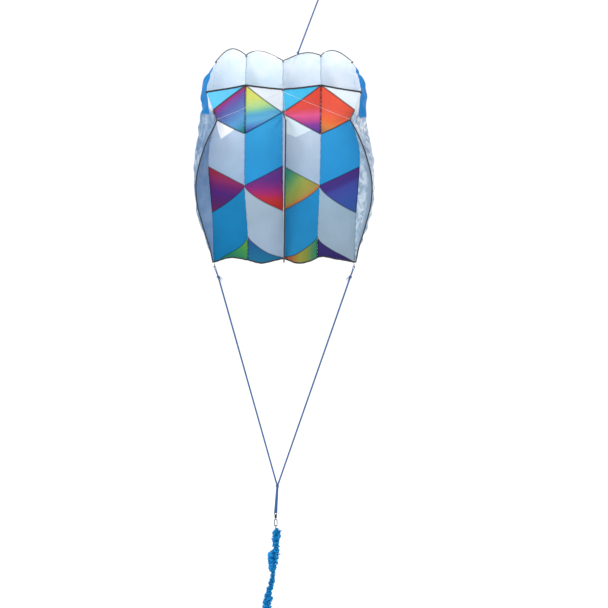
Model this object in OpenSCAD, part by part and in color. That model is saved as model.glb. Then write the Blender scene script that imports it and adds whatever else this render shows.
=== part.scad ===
// Four-cell pocket parafoil kite on a taut flying line, with its bridle, clip swivel and fuzzy tail.
// The kite hangs with its leading edge up (+Z), its span along X and its bottom skin facing -Y.

/* [Canopy] */
// Mean width of the bottom skin across its outer seams
span = 480; // [380:5:600]
// Length of the bottom skin from its front edge to its rear edge
chord = 550; // [440:5:680]
// Greatest thickness of a filled cell
cell_depth = 105; // [80:1:130]
// How far the top skin reaches ahead of the bottom skin
overhang = 83; // [60:1:110]
// Thickness of a modelled fabric skin
skin_t = 1.2; // [0.8:0.1:2]
// How far each bottom panel swells outwards between two ribs
bottom_billow = 7; // [2:1:12]
// How far each top panel swells outwards between two ribs
top_billow = 17; // [8:1:24]
// How far each side wall swells outwards
side_billow = 38; // [15:1:44]
// How far the inner ribs' seams stand back from the keels' seams
rib_setback = 14; // [6:1:20]
// How far the front edges bow forwards between two ribs
scallop = 20; // [8:1:26]
// Width of the black bindings across an edge
binding_w = 3.6; // [2.5:0.1:5]

/* [Keels] */
// Depth of a keel at its tow point
keel_depth = 85; // [60:1:110]
// Distance of a keel's front end behind the bottom front edge
keel_front = 60; // [40:1:90]
// Distance of a tow point behind the front end of its keel
tow_back = 15; // [8:1:30]
// Sideways lean of the centre keel at its tow point
centre_lean = 11; // [0:1:20]

/* [Bridle and flying line] */
// Distance of the tow ring in front of the tow points
ring_out = 95; // [70:5:140]
// Radius of the tow ring at its wire's centre
ring_r = 6; // [5:0.5:9]
// Radius of the tow ring's wire
ring_wire_r = 1; // [0.8:0.1:1.4]
// Diameter of the bridle and leader line
bridle_d = 1.4; // [1:0.1:2]
// Diameter of the flying line
line_d = 4.2; // [3:0.1:5]
// Radius of the small line loops and webbing loops at their centre
loop_r = 5; // [4.5:0.5:7]
// Clearance between linked loops
link_gap = 0.5; // [0.4:0.1:0.8]

/* [Tail] */
// Diameter of the tail bridle's line
tail_line_d = 5.4; // [3:0.1:6]
// Height of the tail bridle from the rear corners to the junction knot
tail_bridle_h = 755; // [600:5:900]
// Length of the doubled line between the junction knot and the swivel
doubled_h = 92; // [60:1:120]
// Diameter of the swivel's barrel
barrel_d = 8; // [6:0.5:9]
// Diameter of the swivel's pin
pin_d = 2.4; // [2:0.1:3]
// Height of the clip below the swivel
clip_h = 24; // [20:1:32]
// Outer diameter of the fuzzy tail
tail_d = 20; // [14:1:28]
// Height of the put-away bundle
bundle_h = 100; // [80:1:120]

/* [Hidden] */
$fn = 32;

// ---- places, measured from the middle of the kite's width, with z = 0 near the front edge ----
front_z = -33;
rear_z = front_z - chord;
// How far each of the five seams reaches forwards at the two front edges, and each top cell's scallop share
bottom_lift = [0, 19, 8, 19, 0];
top_lift = [0, 18, 3, 18, 0];
scallop_share = [1.35, 1.05, 0.65, 1.05];
half = span / 2;
rib_x = span / 4;
seam_gap = 0.3;
rib_t = 1;
tab_r = 1;
knot_r = 4.6;
bridle_knot_r = 3;

// The ring hangs just ahead of the tow points, at the height where the bridle legs meet.
tow_y = -keel_depth - skin_t;
tow_z = front_z - keel_front - tow_back;
ring_at = [0, tow_y - ring_out, tow_z + 121];
knot_at = ring_at + [45, 0, 100];
// The flyer holds the end loop here, and the part's origin is at this point.
hold_at = ring_at + [117, 0, 289];

// The tail hangs in the plane of the bottom skin, and its drawn stretch leans a little to the left.
corner_x = 0.95 * half - 4;
corner_z = rear_z - binding_w - loop_r - tab_r - 0.6;
junction_at = [-25, 0, corner_z - tail_bridle_h];
eye_at = junction_at + [-6, 0, -doubled_h - loop_r];
barrel_h = 10;
clip_top = eye_at + [0, 0, -loop_r - tab_r - barrel_h - 4];
clip_w = 12;
clip_wire_r = 1.5;
wire_r = 1;
header_at = clip_top + [0, 0, -clip_h + clip_wire_r + wire_r + link_gap - loop_r];
tail_top = header_at + [0, 0, -loop_r - 3];
// Points along the tail's core, from the header down to the bundle
tail_route = [
    [0, 0, 0], [-1, 0, -20], [-3, 1, -45], [-7, 1, -80], [-9, 0, -115], [-11, -1, -155],
    [-16, 0, -190], [-22, 0, -225], [-29, 0, -265], [-33, 0, -295]
];
bundle_at = tail_top + [-33, 0, -295 - bundle_h / 2];

// ---- shape functions of the canopy: s runs from 0 at the front edge to 1 at the rear edge ----
function mix(a, b, k) = a + (b - a) * k;
function bottom_seam_x(s) = half * lookup(s, [
    [0, 1.012], [0.107, 0.928], [0.172, 0.892], [0.235, 0.942], [0.31, 0.985], [0.43, 1], [0.55, 0.985],
    [0.72, 0.957], [1, 0.948]]);
function top_seam_x(s) = half * lookup(s, [
    [0, 0.9], [0.24, 0.985], [0.45, 1.06], [0.62, 1.09], [0.8, 1.055], [1, 0.95]]);
function bottom_z(s) = front_z - chord * s;
function top_z(s) = front_z + overhang - (chord + overhang) * s;
function thickness(s) = 2.4 + cell_depth * pow(1 - s, 1.2) * (0.83 + 2.2 * s);
// Seam numbers run 0 to 4 from left to right; odd ones are the inner ribs that stand back.
function setback(i, s) = i % 2 == 1 ? rib_setback * (1 - 0.6 * s) : 0;
function rise(i, s) = bottom_lift[i] * pow(1 - s, 4);
function seam_x(i, outer) = i == 0 ? -outer : i == 4 ? outer : rib_x * (i - 2);
function bottom_point(i, u, s, out = 0) = [
    mix(seam_x(i, bottom_seam_x(s)), seam_x(i + 1, bottom_seam_x(s)), u),
    mix(setback(i, s), setback(i + 1, s), u) - out
        - bottom_billow * sin(180 * u) * (1 - 0.5 * s),
    bottom_z(s) + mix(rise(i, s), rise(i + 1, s), u)
];
function top_point(i, u, s, out = 0) = [
    mix(seam_x(i, top_seam_x(s)), seam_x(i + 1, top_seam_x(s)), u),
    thickness(s) + mix(setback(i, s), setback(i + 1, s), u) + out
        + top_billow * sin(180 * u) * pow(1 - s, 0.5),
    top_z(s) + pow(1 - s, 5)
        * (scallop * scallop_share[i] * sin(180 * u) + mix(top_lift[i], top_lift[i + 1], u))
];
// The hem holds the wall's front edge in; behind it the wall swells at once.
function wall_swell(s) = side_billow * (0.65 + 0.35 * sin(180 * s)) * min(1, 4 * (1 - s))
    * (1 - 0.8 * exp(-s / 0.012))
    * lookup(s, [[0.02, 1], [0.09, 1.25], [0.15, 1.12], [0.28, 0.86], [0.42, 0.97], [0.5, 1]]);
function wall_point(side, s, v, out) =
    let (low = seam_gap, high = thickness(s) - seam_gap)
    [side * (mix(bottom_seam_x(s), top_seam_x(s), v) + wall_swell(s) * sin(180 * v) + out),
     mix(low, high, v), mix(bottom_z(s), top_z(s), v)];

// A keel leans: its free edge stands in at the tow point and out behind it.
function keel_edge_x(u) = half * lookup(u, [
    [0, 0.86], [0.145, 1.003], [0.28, 1.095], [0.43, 1.155], [0.56, 1.15], [0.75, 1.07], [0.9, 0.99], [1, 0.955]]);
function keel_seam_s(u) = mix(keel_front / chord, 1, u);
function keel_point(side, u, v) =
    let (s = keel_seam_s(u))
    [side == 0 ? centre_lean * (mix(0.9, 0.2, u) * v - 0.3) : side * mix(bottom_seam_x(s), keel_edge_x(u), v),
     -skin_t - seam_gap - mix(0, 3 + (keel_depth - 3) * pow(1 - u, 0.85), v),
     mix(bottom_z(s), mix(tow_z, rear_z, u), v)];
function tow_point(side) = keel_point(side, 0, 1);

// ---- solids ----
// Closed slab between two grids of points; grid a's columns and rows run so that its cross product points to b.
module slab(a, b) {
    n = len(a) - 1;
    m = len(a[0]) - 1;
    w = m + 1;
    k = (n + 1) * w;
    function quad(p, q, r, s) = [[p, q, r], [p, r, s]];
    faces = [
        for (i = [0:n - 1]) for (j = [0:m - 1]) for (f = concat(
            quad(i * w + j, (i + 1) * w + j, (i + 1) * w + j + 1, i * w + j + 1),
            quad(k + i * w + j, k + i * w + j + 1, k + (i + 1) * w + j + 1, k + (i + 1) * w + j))) f,
        for (i = [0:n - 1]) for (f = concat(
            quad((i + 1) * w, i * w, k + i * w, k + (i + 1) * w),
            quad(i * w + m, (i + 1) * w + m, k + (i + 1) * w + m, k + i * w + m))) f,
        for (j = [0:m - 1]) for (f = concat(
            quad(j, j + 1, k + j + 1, k + j),
            quad(n * w + j + 1, n * w + j, k + n * w + j, k + n * w + j + 1))) f
    ];
    polyhedron(points = [for (g = [a, b]) for (row = g) for (p = row) p], faces = faces);
}

function unit(v) = v / norm(v);
function heading(path, i) = unit(path[min(i + 1, len(path) - 1)] - path[max(i - 1, 0)]);
// Tube of n sides along a path; side_ref is any direction that the path never follows.
module tube(path, r, n = 8, side_ref = [0, 1, 0]) {
    last = len(path) - 1;
    rings = [for (i = [0:last])
        let (t = heading(path, i), a = unit(cross(side_ref, t)), b = cross(t, a))
        for (j = [0:n - 1]) path[i] + r * (cos(360 * j / n) * a + sin(360 * j / n) * b)];
    sides = [for (i = [0:last - 1]) for (j = [0:n - 1]) for (f = [
        [i * n + j, (i + 1) * n + j, (i + 1) * n + (j + 1) % n],
        [i * n + j, (i + 1) * n + (j + 1) % n, i * n + (j + 1) % n]]) f];
    ends = [[for (j = [0:n - 1]) j], [for (j = [n - 1:-1:0]) last * n + j]];
    polyhedron(points = rings, faces = concat(sides, ends));
}
// Smooth curve through a list of points, with the given number of steps per stretch
function smooth(p, steps) = [
    for (i = [0:len(p) - 2]) for (k = [0:steps - 1])
        let (t = k / steps, a = p[max(i - 1, 0)], b = p[i], c = p[i + 1], d = p[min(i + 2, len(p) - 1)])
        0.5 * (2 * b + (c - a) * t + (2 * a - 5 * b + 4 * c - d) * t * t + (3 * b - a - 3 * c + d) * t * t * t),
    p[len(p) - 1]];
// A point short of the end of a straight stretch
function short_of(from, to, by) = to - unit(to - from) * by;

module ring(r, wire) {
    rotate_extrude() translate([r, 0]) circle(wire);
}
module ring_x(r, wire) {
    rotate([0, 90, 0]) ring(r, wire);
}
module ring_y(r, wire) {
    rotate([90, 0, 0]) ring(r, wire);
}
module row_frame() {
    translate(-hold_at) children();
}

// ---- flying line ----
leader_r = bridle_d / 2;
line_r = line_d / 2;
hold_loop_r = 9;
line_low = short_of(hold_at, knot_at, knot_r + 0.2);
line_high = short_of(knot_at, hold_at, hold_loop_r + line_r + knot_r * 2);
module line_end_loop() {
    axis = unit(hold_at - knot_at);
    tilt = atan2(axis[0], axis[2]);
    color("slategray") row_frame() {
        translate(hold_at) ring_y(hold_loop_r, line_r);
        translate(hold_at) rotate([0, tilt, 0]) translate([0, 0, -hold_loop_r - knot_r - line_r])
            sphere(knot_r);
    }
}
module flying_line() {
    color("slategray") row_frame()
        tube([for (k = [0:4]) mix(line_low, line_high, k / 4)], line_r);
}
module line_knot() {
    color("slategray") row_frame() translate(knot_at) sphere(knot_r);
}
module leader() {
    top = short_of(ring_at, knot_at, knot_r + 0.2);
    bottom = short_of(knot_at, ring_at, ring_r + ring_wire_r + 0.4);
    color("whitesmoke") row_frame() tube([for (k = [0:3]) mix(top, bottom, k / 3)], leader_r);
}
module tow_ring() {
    color("silver") row_frame() translate(ring_at) ring_y(ring_r, ring_wire_r);
}

// ---- skins ----
chord_steps = 14;
panel_steps = 6;
function across(k) = mix(0.002, 0.998, k / panel_steps);
module bottom_panel(i, tint) {
    color(tint) row_frame() slab(
        [for (k = [0:panel_steps]) [for (j = [0:chord_steps]) bottom_point(i, across(k), j / chord_steps, skin_t)]],
        [for (k = [0:panel_steps]) [for (j = [0:chord_steps]) bottom_point(i, across(k), j / chord_steps)]]);
}
module top_panel(i) {
    color("white") row_frame() slab(
        [for (k = [0:panel_steps]) [for (j = [0:chord_steps]) top_point(i, across(k), j / chord_steps)]],
        [for (k = [0:panel_steps]) [for (j = [0:chord_steps]) top_point(i, across(k), j / chord_steps, skin_t)]]);
}
wall_steps = 5;
module side_wall(side) {
    near = side < 0 ? rib_t / 2 : -rib_t / 2;
    far = -near;
    color("white") row_frame() slab(
        [for (k = [0:wall_steps]) [for (j = [0:chord_steps])
            wall_point(side, 0.99 * j / chord_steps, k / wall_steps, side < 0 ? far : near)]],
        [for (k = [0:wall_steps]) [for (j = [0:chord_steps])
            wall_point(side, 0.99 * j / chord_steps, k / wall_steps, side < 0 ? near : far)]]);
}
rib_end = 0.97;
module rib(i) {
    outline = concat(
        [for (j = [0:chord_steps]) let (s = rib_end * j / chord_steps, p = bottom_point(i, 0, s))
            [p[2], p[1] + seam_gap]],
        [for (j = [chord_steps:-1:0]) let (s = rib_end * j / chord_steps, p = top_point(i, 0, s))
            [p[2], p[1] - seam_gap]]);
    color("gainsboro") row_frame() translate([rib_x * (i - 2) - rib_t / 2, 0, 0])
        rotate([90, 0, 90]) linear_extrude(rib_t) polygon([for (p = outline) [p[1], p[0]]]);
}
keel_steps = 14;
keel_rows = 3;
module keel(side) {
    color("aliceblue") row_frame() slab(
        [for (k = [0:keel_rows]) [for (j = [0:keel_steps])
            keel_point(side, j / keel_steps, k / keel_rows) + [rib_t / 2, 0, 0]]],
        [for (k = [0:keel_rows]) [for (j = [0:keel_steps])
            keel_point(side, j / keel_steps, k / keel_rows) - [rib_t / 2, 0, 0]]]);
}

// ---- black bindings along the free edges ----
edge_out = binding_w / 2 + seam_gap;
module bottom_front_binding() {
    path = [for (i = [0:3]) for (k = [0:3]) bottom_point(i, k / 4, 0, skin_t / 2) + [0, 0, edge_out],
        bottom_point(3, 1, 0, skin_t / 2) + [0, 0, edge_out]];
    color("black") row_frame() tube(path, binding_w / 2, 6);
}
module top_front_binding() {
    path = [for (i = [0:3]) for (k = [0:panel_steps - 1])
            top_point(i, k / panel_steps, 0, skin_t / 2) + [0, 0, edge_out + 0.2],
        top_point(3, 1, 0, skin_t / 2) + [0, 0, edge_out + 0.2]];
    color("black") row_frame() tube(path, binding_w / 2, 6);
}
module rear_binding() {
    path = [for (i = [0:3]) for (k = [0:1]) bottom_point(i, k / 2, 1) + [0, 1, -edge_out],
        bottom_point(3, 1, 1) + [0, 1, -edge_out]];
    color("black") row_frame() tube(path, binding_w / 2, 6);
}
function edge_of_keel(side, u, v) = keel_point(side, u, v)
    + (u > 0 ? [0, -edge_out - 0.1, 0] : [0, v < 1 ? 0 : -edge_out - 0.1, edge_out]);
module keel_binding(side) {
    path = concat(
        [for (v = [0.1, 0.5, 0.9, 1]) edge_of_keel(side, 0, v)],
        [for (j = [1:keel_steps]) edge_of_keel(side, j / keel_steps, 1)]);
    color("black") row_frame() tube(path, binding_w / 2, 6, [1, 0, 0]);
}

// ---- bridle ----
function tow_loop_at(side) = tow_point(side) + [0, -edge_out - binding_w / 2 - 2.6, edge_out + 1.2];
tow_loop_r = 2.2;
bridle_knot_at = ring_at + [0, 0, -ring_r - 2 * loop_r - bridle_knot_r + link_gap];
module tow_loop(side) {
    color("black") row_frame() translate(tow_loop_at(side)) ring_x(tow_loop_r, 0.7);
}
module bridle_leg(side) {
    from = bridle_knot_at;
    to = tow_loop_at(side);
    low = short_of(from, to, tow_loop_r + 1);
    high = short_of(to, from, bridle_knot_r + 0.2);
    color("whitesmoke") row_frame() tube([for (k = [0:3]) mix(high, low, k / 3)], leader_r);
}
module bridle_knot() {
    wire = leader_r;
    color("whitesmoke") row_frame() {
        translate(ring_at + [0, 0, -ring_r + ring_wire_r + link_gap + wire - loop_r]) ring_x(loop_r, wire);
        translate(bridle_knot_at) sphere(bridle_knot_r);
    }
}

// ---- tail bridle ----
eye_r = 3.8;
eye_wire_r = 1.4;
tail_r = tail_line_d / 2;
tie_drop = 34;
tie_in = 11.5;
link_wire = 1.2;
function corner_at(side) = [side * corner_x, 0, corner_z];
function tie_at(side) = corner_at(side) + [-side * tie_in, 0, -loop_r - tie_drop];
module corner_loop(side) {
    color("black") row_frame() translate(corner_at(side)) ring_x(loop_r, tab_r);
}
// Each tie is a knot with a long loop of the same line that passes through the corner loop.
module tail_knot(side) {
    hook = corner_at(side) + [0, 0, -loop_r];
    axis = unit(hook - tie_at(side));
    turn_r = tab_r + link_gap + link_wire + 0.2;
    aside = cross(axis, [0, 1, 0]) * turn_r;
    turn = hook - axis * (turn_r - link_wire - link_gap - tab_r);
    start = tie_at(side) + axis * (knot_r + 0.1);
    path = concat(
        [start + aside, mix(start, turn, 0.5) + aside],
        [for (a = [0:30:180]) turn + cos(a) * aside + sin(a) * axis * turn_r],
        [mix(start, turn, 0.5) - aside, start - aside]);
    color("slategray") row_frame() {
        translate(tie_at(side)) sphere(knot_r);
        tube(path, link_wire, 8);
    }
}
// The junction knot is long enough for the two lines to leave it side by side.
junction_half_h = 2.4 * knot_r;
module tail_line(side) {
    high = short_of(junction_at, tie_at(side), knot_r + 0.2);
    low = short_of(tie_at(side), junction_at, junction_half_h + 0.4);
    color("slategray") row_frame() tube([for (k = [0:4]) mix(high, low, k / 4)], tail_r);
}
module junction_knot() {
    color("slategray") row_frame() translate(junction_at)
        scale([1, 1, junction_half_h / knot_r]) sphere(knot_r);
}
module doubled_tail_line() {
    strand_out = 0.72 * (tail_r + 0.1);
    high = short_of(eye_at, junction_at, junction_half_h + 0.4);
    low = short_of(junction_at, eye_at, eye_r + eye_wire_r + 0.4);
    color("slategray") row_frame() for (x = [-1, 1])
        tube([for (k = [0:3]) mix(high, low, k / 3) + [x * strand_out, x * strand_out, 0]], tail_r);
}

// ---- swivel and clip ----
pin_gap = 0.08;
head_r = pin_d / 2 + 1;
head_h = 1.6;
head_play = 0.3;
collar_h = 2;
barrel_base = eye_at + [0, 0, -eye_r - eye_wire_r + 0.4 - barrel_h];
module swivel_barrel() {
    color("midnightblue") row_frame() {
        translate(eye_at) ring_y(eye_r, eye_wire_r);
        translate(barrel_base) difference() {
            cylinder(d = barrel_d, h = barrel_h);
            translate([0, 0, -1]) cylinder(r = pin_d / 2 + pin_gap, h = collar_h + 2);
            translate([0, 0, collar_h]) cylinder(r = head_r + head_play, h = head_h + 1);
        }
    }
}
module swivel_pin() {
    foot = clip_top + [0, 0, clip_wire_r - 0.4];
    shank = barrel_base[2] - foot[2] + collar_h + head_play;
    color("silver") row_frame() translate(foot) {
        cylinder(d = pin_d, h = shank);
        translate([0, 0, shank]) cylinder(r = head_r, h = head_h);
    }
}
// The clip is a long wire frame that is open on its right side, where the gate closes it.
gate_gap = 1.4;
module clip_frame() {
    w = clip_w / 2 - clip_wire_r;
    color("midnightblue") row_frame() translate(clip_top) {
        translate([0, 0, -w]) rotate([90, 0, 0]) rotate_extrude(angle = 180)
            translate([w, 0]) circle(clip_wire_r);
        translate([0, 0, -clip_h + w]) rotate([-90, 0, 0]) rotate_extrude(angle = 180)
            translate([w, 0]) circle(clip_wire_r);
        translate([-w, 0, -clip_h + w]) cylinder(h = clip_h - 2 * w, r = clip_wire_r);
    }
}
module clip_gate() {
    w = clip_w / 2 - clip_wire_r;
    color("silver") row_frame() translate(clip_top + [w, 0, -clip_h + w + gate_gap])
        cylinder(h = clip_h - 2 * w - gate_gap - 0.4, r = clip_wire_r * 0.8);
}

// ---- tail ----
core_r = 1.5;
tail_path = [for (p = smooth(tail_route, 2)) tail_top + p];
module tail_header_loop() {
    color("midnightblue") row_frame() translate(header_at) {
        ring_x(loop_r, wire_r);
        translate([0, 0, -loop_r - 1.8]) cylinder(d = 5, h = 2);
    }
}
module tail_core() {
    color("midnightblue") row_frame() tube(tail_path, core_r);
}
module tail_fringe() {
    path = [for (i = [1:len(tail_path) - 2]) tail_path[i]];
    color("dodgerblue") row_frame() tube(path, tail_d / 2, 10);
}
bundle_w = 2.4 * tail_d;
bundle_d = 1.4 * tail_d;
tie_h = 8;
module bundle_outline(extra) {
    hull() for (z = [-1, 1])
        translate([0, z * (bundle_h - bundle_w) / 2]) circle(d = bundle_w + extra);
}
module tail_bundle() {
    color("dodgerblue") row_frame() translate(bundle_at + [0, bundle_d / 2, 0])
        rotate([90, 0, 0]) linear_extrude(bundle_d) bundle_outline(0);
}
module tail_tie() {
    color("midnightblue") row_frame() translate(bundle_at + [0, 0, -tie_h / 2]) difference() {
        translate([-bundle_w / 2 - 2, -bundle_d / 2 - 2, 0]) cube([bundle_w + 4, bundle_d + 4, tie_h]);
        translate([-bundle_w / 2 - 0.2, -bundle_d / 2 - 0.2, -1])
            cube([bundle_w + 0.4, bundle_d + 0.4, tie_h + 2]);
    }
}
module tail_end_knot() {
    color("midnightblue") row_frame()
        translate(bundle_at + [-6, -bundle_d / 2 - knot_r - 0.2, bundle_h / 4]) sphere(knot_r);
}

line_end_loop();
flying_line();
line_knot();
leader();
tow_ring();
bottom_panel(0, "skyblue");  // bottom_panel_1
bottom_panel(1, "royalblue");  // bottom_panel_2
bottom_panel(2, "orangered");  // bottom_panel_3
bottom_panel(3, "mediumpurple");  // bottom_panel_4
top_panel(0);  // top_panel_1
top_panel(1);  // top_panel_2
top_panel(2);  // top_panel_3
top_panel(3);  // top_panel_4
side_wall(-1);  // side_wall_left
side_wall(1);  // side_wall_right
rib(1);  // rib_left
rib(2);  // rib_centre
rib(3);  // rib_right
keel(-1);  // keel_left
keel(0);  // keel_centre
keel(1);  // keel_right
bottom_front_binding();
top_front_binding();
rear_binding();
keel_binding(-1);  // keel_binding_left
keel_binding(0);  // keel_binding_centre
keel_binding(1);  // keel_binding_right
tow_loop(-1);  // tow_loop_left
tow_loop(0);  // tow_loop_centre
tow_loop(1);  // tow_loop_right
bridle_leg(-1);  // bridle_leg_left
bridle_leg(0);  // bridle_leg_centre
bridle_leg(1);  // bridle_leg_right
bridle_knot();
corner_loop(-1);  // corner_loop_left
corner_loop(1);  // corner_loop_right
tail_line(-1);  // tail_line_left
tail_line(1);  // tail_line_right
tail_knot(-1);  // tail_knot_left
tail_knot(1);  // tail_knot_right
junction_knot();
doubled_tail_line();
swivel_barrel();
swivel_pin();
clip_frame();
clip_gate();
tail_header_loop();
tail_core();
tail_fringe();
tail_bundle();
tail_tie();
tail_end_knot();
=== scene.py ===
import math

import bpy
import numpy as np
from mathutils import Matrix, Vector


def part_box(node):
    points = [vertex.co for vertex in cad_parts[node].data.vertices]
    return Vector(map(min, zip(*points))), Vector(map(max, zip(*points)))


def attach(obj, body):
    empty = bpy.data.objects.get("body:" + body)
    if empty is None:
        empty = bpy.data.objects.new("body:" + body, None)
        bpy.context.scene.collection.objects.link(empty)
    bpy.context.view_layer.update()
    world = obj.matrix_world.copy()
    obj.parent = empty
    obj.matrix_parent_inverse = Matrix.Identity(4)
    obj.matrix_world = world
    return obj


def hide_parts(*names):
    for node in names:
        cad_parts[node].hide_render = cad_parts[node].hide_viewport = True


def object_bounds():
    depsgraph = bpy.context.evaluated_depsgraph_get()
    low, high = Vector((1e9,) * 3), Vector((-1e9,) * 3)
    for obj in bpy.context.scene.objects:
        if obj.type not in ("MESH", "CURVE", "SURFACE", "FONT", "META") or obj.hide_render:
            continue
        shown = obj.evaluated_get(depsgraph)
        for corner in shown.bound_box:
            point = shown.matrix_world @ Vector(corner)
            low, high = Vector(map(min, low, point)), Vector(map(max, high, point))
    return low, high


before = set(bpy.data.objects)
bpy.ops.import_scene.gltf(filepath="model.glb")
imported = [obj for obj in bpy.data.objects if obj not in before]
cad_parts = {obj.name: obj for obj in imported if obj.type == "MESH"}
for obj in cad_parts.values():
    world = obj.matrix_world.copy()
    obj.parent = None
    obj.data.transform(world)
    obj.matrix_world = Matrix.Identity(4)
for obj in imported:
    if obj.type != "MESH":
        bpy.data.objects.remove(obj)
cad_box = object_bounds()
bpy.ops.object.select_all(action="DESELECT")

# ---- camera, floor and lights ----
# The kite hangs in front of a pale studio floor. The view looks a little down on its bottom skin.
rib_low, rib_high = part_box("rib_centre")
ring_low, ring_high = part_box("tow_ring")
# Middle of the kite's front edge: every canopy place is measured from here.
kite = Vector(((rib_low[0] + rib_high[0]) / 2, rib_low[1] - 0.0003, (ring_low[2] + ring_high[2]) / 2 - 0.013))
view_down = math.radians(15)
bpy.ops.object.camera_add(location=kite + Vector((0.0633, -5.9682, 0.8769)),
                          rotation=(math.pi / 2 - view_down, 0, 0))
camera = bpy.context.object
camera.data.sensor_width = 36
camera.data.lens = 113.2
camera.data.clip_end = 100
bpy.context.scene.camera = camera


def add_node(tree, kind, inputs=None, **settings):
    """Adds one shader node; an input is a value or another node's socket."""
    made = tree.nodes.new(kind)
    for name, value in settings.items():
        setattr(made, name, value)
    for name, value in (inputs or {}).items():
        if isinstance(value, bpy.types.NodeSocket):
            tree.links.new(value, made.inputs[name])
        else:
            made.inputs[name].default_value = value
    return made


def hex_linear(code, alpha=1.0):
    """Linear colour of an sRGB hex value."""
    parts = [int(code[i:i + 2], 16) / 255 for i in (0, 2, 4)]
    return [p / 12.92 if p <= 0.04045 else ((p + 0.055) / 1.055) ** 2.4 for p in parts] + [alpha]


def new_material(name, rough, colour="FFFFFF"):
    """A material with a Principled shader: returns the material, its node tree and the shader."""
    made = bpy.data.materials.new(name)
    made.use_nodes = True
    shader = made.node_tree.nodes["Principled BSDF"]
    shader.inputs["Roughness"].default_value = rough
    shader.inputs["Base Color"].default_value = hex_linear(colour)
    made.diffuse_color = hex_linear(colour)
    return made, made.node_tree, shader


def maths(tree, operation, *values):
    """One Math node's result."""
    return add_node(tree, "ShaderNodeMath", dict(enumerate(values)), operation=operation).outputs[0]


def mixed(tree, factor, under, over, blend="MIX"):
    """Colour mix; factor, under and over are values or sockets."""
    made = add_node(tree, "ShaderNodeMix", data_type="RGBA", blend_type=blend)
    for socket, value in ((made.inputs[0], factor), (made.inputs[6], under), (made.inputs[7], over)):
        if isinstance(value, bpy.types.NodeSocket):
            tree.links.new(value, socket)
        else:
            socket.default_value = value
    return made.outputs[2]


def band(tree, distance, near, far):
    """1 below the near distance, falling to 0 at the far one."""
    return add_node(tree, "ShaderNodeMapRange", {"Value": distance, "From Min": near, "From Max": far,
                                                 "To Min": 1.0, "To Max": 0.0}).outputs[0]


def object_noise(tree, scale, detail=2.0, roughness=0.5, distortion=0.0):
    """Noise that is fixed to the piece."""
    place = add_node(tree, "ShaderNodeTexCoord")
    made = add_node(tree, "ShaderNodeTexNoise", {"Vector": place.outputs["Object"], "Scale": scale,
                                                 "Detail": detail, "Roughness": roughness,
                                                 "Distortion": distortion})
    return made.outputs["Fac"]


def colour_ramp(tree, share, start, end):
    """Gradient between two (place, sRGB hex colour) stops."""
    ramp = add_node(tree, "ShaderNodeValToRGB", {"Fac": share})
    for element, (place, code) in zip(ramp.color_ramp.elements, (start, end)):
        element.position = place
        element.color = hex_linear(code)
    return ramp.outputs["Color"]


def relief(tree, shader, height, strength, distance):
    """Raises and sinks the surface by a height."""
    bump = add_node(tree, "ShaderNodeBump", {"Height": height, "Strength": strength, "Distance": distance})
    tree.links.new(bump.outputs["Normal"], shader.inputs["Normal"])


# Painted studio floor: matt, pale, with a faint mottle from the roller.
floor_paint, tree, shader = new_material("painted_floor", 0.9, "F6F6F7")
mottle = add_node(tree, "ShaderNodeTexNoise", {"Scale": 6.0, "Detail": 3.0})
mottled = colour_ramp(tree, mottle.outputs["Fac"], (0.0, "FAFAFB"), (1.0, "FFFFFF"))
tree.links.new(mottled, shader.inputs["Base Color"])
bpy.ops.mesh.primitive_grid_add(x_subdivisions=2, y_subdivisions=2, size=60,
                                location=(kite.x, kite.y, cad_box[0][2] - 0.05))
floor = bpy.context.object
floor.name = "studio_floor"
floor.data.materials.append(floor_paint)

world = bpy.data.worlds.new("soft_studio")
bpy.context.scene.world = world
world.use_nodes = True
world.node_tree.nodes["Background"].inputs["Color"].default_value = (0.99, 0.995, 1.0, 1.0)
world.node_tree.nodes["Background"].inputs["Strength"].default_value = 1.06
bpy.context.scene.view_settings.view_transform = "Standard"


def softbox(name, offset, aim, size, power):
    """A square area light that looks from offset to aim, both measured from the kite."""
    place, target = kite + Vector(offset), kite + Vector(aim)
    bpy.ops.object.light_add(type="AREA", location=place)
    lamp = bpy.context.object
    lamp.name = name
    lamp.data.energy = power
    lamp.data.size = size
    lamp.rotation_euler = (target - place).to_track_quat("-Z", "Y").to_euler()


softbox("key_light", (-1.6, -2.2, 2.6), (0, 0, -0.3), 0.8, 42)
softbox("fill_light", (2.8, -2.6, 0.6), (0, 0, -0.4), 2.4, 8)
softbox("top_light", (0.2, 1.0, 2.6), (0, 0.1, -0.2), 1.0, 16)

# ---- flying line, its end loop and the leader ----
# Braided polyester line, taut from the flyer's end loop to the knot, where it is tied to a thin white leader
# that runs on down to the tow ring.


def braided_line(name, colour, dark, strand):
    """Braided line: two sets of strands that cross, each strand a soft ridge, with painted shade in the
    grooves between strands.
    """
    made, tree, shader = new_material(name, 0.62, colour)
    uv = add_node(tree, "ShaderNodeUVMap", uv_map="along")
    split = add_node(tree, "ShaderNodeSeparateXYZ", {"Vector": uv.outputs["UV"]})
    waves = []
    for sign in (1, -1):
        turn = maths(tree, "MULTIPLY", split.outputs["X"], sign * 6 * math.pi)
        run = maths(tree, "MULTIPLY", split.outputs["Y"], 2 * math.pi / strand)
        waves.append(maths(tree, "SINE", maths(tree, "ADD", turn, run)))
    ridge = maths(tree, "MAXIMUM", *waves)
    shade = add_node(tree, "ShaderNodeMapRange", {"Value": ridge, "From Min": -0.4, "From Max": 1.0})
    tint = mixed(tree, shade.outputs[0], hex_linear(dark), hex_linear(colour))
    tree.links.new(tint, shader.inputs["Base Color"])
    relief(tree, shader, ridge, 0.5, 0.0004)
    shader.inputs["Specular IOR Level"].default_value = 0.12
    return made


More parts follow.
